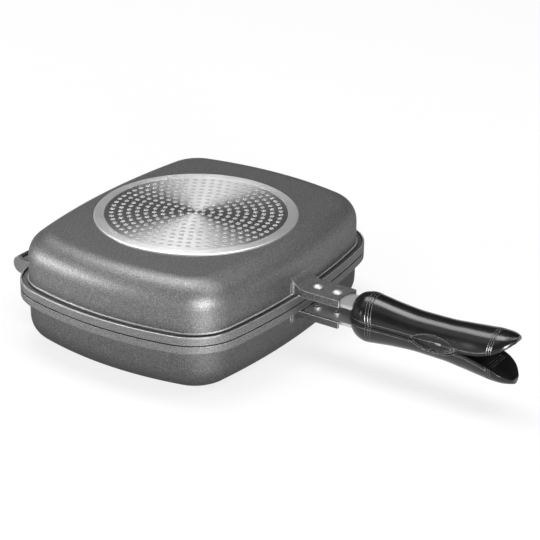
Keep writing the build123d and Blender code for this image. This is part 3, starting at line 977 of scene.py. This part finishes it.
def ramp_up(value):
    """Smooth step from 0 to 1."""
    value = min(max(value, 0.0), 1.0)
    return value * value * (3 - 2 * value)


def scoop_limit(distance, height):
    """How far from the middle plane the handle's side may stand in the scoop, None outside it."""
    along = distance - SCOOP_MIDDLE
    limit = None
    for terrace in TERRACES:
        a, b = terrace["half_length"], terrace["half_height"]
        arc = (a * a + b * b) / (2 * b)
        depth = arc - math.hypot(along, height + arc - b)
        if depth <= 0:
            break
        outside = limit if limit is not None else terrace["floor"] + SCOOP_LIP
        limit = outside + (terrace["floor"] - outside) * ramp_up(depth / TERRACE_SLOPE)
    if limit is not None and limit < TERRACES[-1]["floor"] + ON_FLOOR:
        sides = ramp_up(WINDOW_HALF_LENGTH - abs(along))
        sides *= ramp_up((WINDOW_HEIGHT - height) / WINDOW_SLOPE)
        limit += (WINDOW_FLOOR - limit) * sides
    return limit


print("scoop's floor stands out by", round(scoop_limit(SCOOP_MIDDLE, LINE_HEIGHT), 1), "mm")

# %% [markdown]
# The rings, the line and the round edges of the real moulding belong to one smooth surface. Each
# could be carved with its own tool, but here one sum makes them all. A point starts on the ellipse
# for its place along the handle. Then it is drawn inwards by the ring or line that it lies in,
# rounded at the parting edge, and held back in the scoop. The front rings lean: they start further
# back at the parting line than on top, because the columns of the net lean there.

# %% A point of the handle's surface
RING_DEPTH = 0.45
RING_LEAN = 4.6
RING_LEAN_REACH = 17.0
LINE_DEPTH = 0.40
LINE_START = 2.0
EDGE_RADIUS = 0.7


def ring_dip(distance, rings):
    """Depth of the rings at a distance from the nose."""
    return RING_DEPTH * max(bowl(distance - ring, RING_HALF_WIDTH) for ring in rings)


def surface_point(distance, height, rise, side):
    """Point of the upper half, from the seam. Rise goes from 0 at the foot to 1 on top."""
    lean = RING_LEAN * bowl(distance - FRONT_RINGS[1], RING_LEAN_REACH)
    place = distance + lean * (1 - rise)
    angle = swept_angle(place)
    half_width, crown = half_width_at(angle), crown_at(angle)
    low = max(curl_at(angle), INNER_FACE / MM)
    arch = crown - low
    if height is None:
        height = rise * arch
    share = min(height / arch, 1.0)
    out = half_width * math.sqrt(max(1 - share * share, 0.0))
    normal = Vector((out / half_width**2, height / arch**2)).normalized()
    dip = ring_dip(distance, FRONT_RINGS + TAIL_RINGS)
    if LINE_START < distance < TAIL_RINGS[0]:
        dip += LINE_DEPTH * bowl(height - LINE_HEIGHT, LINE_HALF_WIDTH)
    out -= dip * normal.x
    tall = height - dip * normal.y
    if height < EDGE_RADIUS:
        out -= EDGE_RADIUS - math.sqrt(EDGE_RADIUS**2 - (EDGE_RADIUS - height) ** 2)
    limit = scoop_limit(place, height)
    if limit is not None:
        out = min(out, limit)
    return Vector((place, side * out, low + tall))


print("top of the palm:", round(surface_point(PALM, None, 1.0, 1).z, 1), "mm above the seam")

# %% [markdown]
# A section is one closed loop of points: up the near side, down the far side, and back along the
# inner face. Low down its rows are at the heights where the line and the scoop need them, and above
# that they follow the ellipse by angle, which keeps the crown round. Sections could have as many
# points as each needs, but the short ones near the tail squeeze their rows together instead, so
# that all have the same number and can be joined one to one.

# %% A section of the handle
SHORT_SECTION = 14.0
UPPER_ROWS = 22
FACE_ROWS = 10


def section_points(distance):
    """One closed section: up the near side, down the far side, back along the inner face."""
    angle = swept_angle(distance)
    arch = crown_at(angle) - max(curl_at(angle), INNER_FACE / MM)
    squeeze = min(1.0, arch / SHORT_SECTION)
    heights = [row * squeeze for row in rows]
    first = math.asin(heights[-1] / arch)
    steps = range(1, UPPER_ROWS + 1)
    upper = [first + (math.pi / 2 - first) * step / UPPER_ROWS for step in steps]
    near = [surface_point(distance, height, height / arch, -1) for height in heights]
    near += [surface_point(distance, None, math.sin(turn), -1) for turn in upper]
    far = [Vector((p.x, -p.y, p.z)) for p in reversed(near[:-1])]
    foot = near[0]
    face_z = foot.z + ring_dip(distance, TAIL_RINGS)
    shares = [1 - 2 * step / FACE_ROWS for step in range(1, FACE_ROWS)]
    return near + far + [Vector((foot.x, -foot.y * share, face_z)) for share in shares]


print("a section has", len(section_points(PALM)), "points")

# %% [markdown]
# The net becomes a closed skin: each section is joined to the next by four-sided faces, and the two
# ends are closed with flat faces. A coarser skin under a subdivision modifier would be smaller, but
# it would melt the rings and edges away. So the net is as fine as the shape needs, and is joined as
# it is.

# %% Skin of the handle
def skin_from_sections(name, sections):
    """Closed mesh through sections that all have the same number of points."""
    count = len(sections[0])
    points = [
        (GRIP_START + p.x * MM, p.y * MM, SEAM_Z + p.z * MM)
        for section in sections for p in section
    ]
    faces = [tuple(range(count))]
    for index in range(len(sections) - 1):
        start = index * count
        for step in range(count):
            after = (step + 1) % count
            faces.append((start + step, start + count + step, start + count + after, start + after))
    last = (len(sections) - 1) * count
    faces.append(tuple(reversed(range(last, last + count))))
    mesh = bpy.data.meshes.new(name)
    mesh.from_pydata(points, [], faces)
    mesh.update()
    return mesh


upper_skin = skin_from_sections("upper_grip_shell", [section_points(place) for place in columns])
print("skin of the upper half:", len(upper_skin.polygons), "faces")

# %% [markdown]
# The inside still has to be opened for the steel tang, the screw and the magnet's cup, as the
# engineering model has it. Holes could be left in the net, but their round edges cross its rows and
# columns. Round and square cutters, taken away with Boolean modifiers, cut them cleanly, and the
# result is applied, so that the piece is a plain mesh again.

# %% Cutters
CUTTER_SIDES = 64


def cutter(points, faces):
    """An object to cut with, from a closed mesh."""
    mesh = bpy.data.meshes.new("cutter")
    mesh.from_pydata(points, [], faces)
    return link("cutter", mesh)


def round_cutter(x, low, high, radius):
    """Upright round cutter. Its x is in metres, and the rest in millimetres, from the seam."""
    sides = CUTTER_SIDES
    ring = [2 * math.pi * step / sides for step in range(sides)]
    points = [
        (x + radius * MM * math.cos(a), radius * MM * math.sin(a), SEAM_Z + z * MM)
        for z in (low, high) for a in ring
    ]
    faces = [tuple(reversed(range(sides))), tuple(range(sides, 2 * sides))]
    faces += [(s, (s + 1) % sides, sides + (s + 1) % sides, sides + s) for s in range(sides)]
    return cutter(points, faces)


def square_cutter(low, high):
    """Box between two corners, in metres."""
    x, y, z = zip(low, high)
    points = [(a, b, c) for a in x for b in y for c in z]
    faces = [(0, 1, 3, 2), (4, 6, 7, 5), (0, 4, 5, 1), (2, 3, 7, 6), (0, 2, 6, 4), (1, 5, 7, 3)]
    return cutter(points, faces)


def cut_away(piece, cutters):
    """Takes the cutters out of a piece and leaves a plain mesh."""
    for tool in cutters:
        modifier = piece.modifiers.new("cut", "BOOLEAN")
        modifier.operation = "DIFFERENCE"
        modifier.solver = "EXACT"
        modifier.object = tool
    view = bpy.context.evaluated_depsgraph_get()
    cut = bpy.data.meshes.new_from_object(piece.evaluated_get(view))
    piece.modifiers.clear()
    piece.data = cut
    for tool in cutters:
        bpy.data.objects.remove(tool)


print("a round cutter has", CUTTER_SIDES, "sides")

# %% [markdown]
# Inside each half the tang lies in a slot that is wide at the nose and narrow behind the tang's
# shoulder. A screw comes up from the inner face through its counterbore into a brass insert, and a
# cup with a magnet sits further back. Their sizes could be typed in again, but most are read from
# the boxes of the parts that they hold, so that the room always fits them. The lower half is the
# same mesh, mirrored in the seam, because the two halves are one drawing.

# %% Handle halves
CLEARANCE = 0.1
CUT_PAST = 5.0
SHOULDER = 11.1
NOSE_SLOT = 12.3
SLOT = 8.1
BELOW_FACE = -1.0
SCREW_SEAT = 4.35
SCREW_HOLE = 2.6
SHARP_FROM = math.radians(38)


def round_place(low, high):
    """For a round part's box: its middle's x in metres, its radius and its top in millimetres."""
    return ((low + high) / 2).x, (high.x - low.x) / 2 / MM, (high.z - SEAM_Z) / MM


def grip_cutters():
    """Room for the tang, the screw, its insert and the magnet's cup."""
    tang_low, tang_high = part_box("upper_tang")
    slot_low, slot_high = tang_low.z - CLEARANCE * MM, tang_high.z + CLEARANCE * MM
    slot_floor, slot_top = (slot_low - SEAM_Z) / MM, (slot_high - SEAM_Z) / MM
    front, shoulder = GRIP_START - CUT_PAST * MM, GRIP_START + SHOULDER * MM
    slot_end = tang_high.x + CLEARANCE * MM
    nose_y, slot_y = NOSE_SLOT * MM, SLOT * MM
    screw_x, head_radius, _ = round_place(*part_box("upper_grip_screw"))
    _, brass_radius, brass_top = round_place(*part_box("upper_insert"))
    cup_x, cup_radius, cup_top = round_place(*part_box("upper_magnet_cup"))
    return [
        square_cutter((front, -nose_y, slot_low), (shoulder, nose_y, slot_high)),
        square_cutter((front, -slot_y, slot_low), (slot_end, slot_y, slot_high)),
        round_cutter(screw_x, BELOW_FACE, SCREW_SEAT, head_radius + CLEARANCE),
        round_cutter(screw_x, BELOW_FACE, slot_top, SCREW_HOLE),
        round_cutter(screw_x, slot_floor, brass_top, brass_radius),
        round_cutter(cup_x, BELOW_FACE, cup_top, cup_radius + CLEARANCE),
    ]


def make_grips():
    """Both halves of the handle."""
    upper = link("upper_grip_shell", upper_skin)
    cut_away(upper, grip_cutters())
    upper.data.materials.clear()
    upper.data.materials.append(resin)
    lower = link("lower_grip_shell", upper.data.copy())
    for vertex in lower.data.vertices:
        vertex.co.z = 2 * SEAM_Z - vertex.co.z
    lower.data.flip_normals()
    for half, body, shell in (("upper", "lid", upper), ("lower", "base", lower)):
        shell.data.shade_smooth()
        shell.data.set_sharp_from_angle(angle=SHARP_FROM)
        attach(shell, body)
        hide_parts(f"{half}_grip")
    return upper, lower


grips = make_grips()
print("faces of the handle's halves:", [len(shell.data.polygons) for shell in grips])

# %% [markdown] The finish changes no size: only the bosses stand out of their plates, by less
# than a tenth of a millimetre.
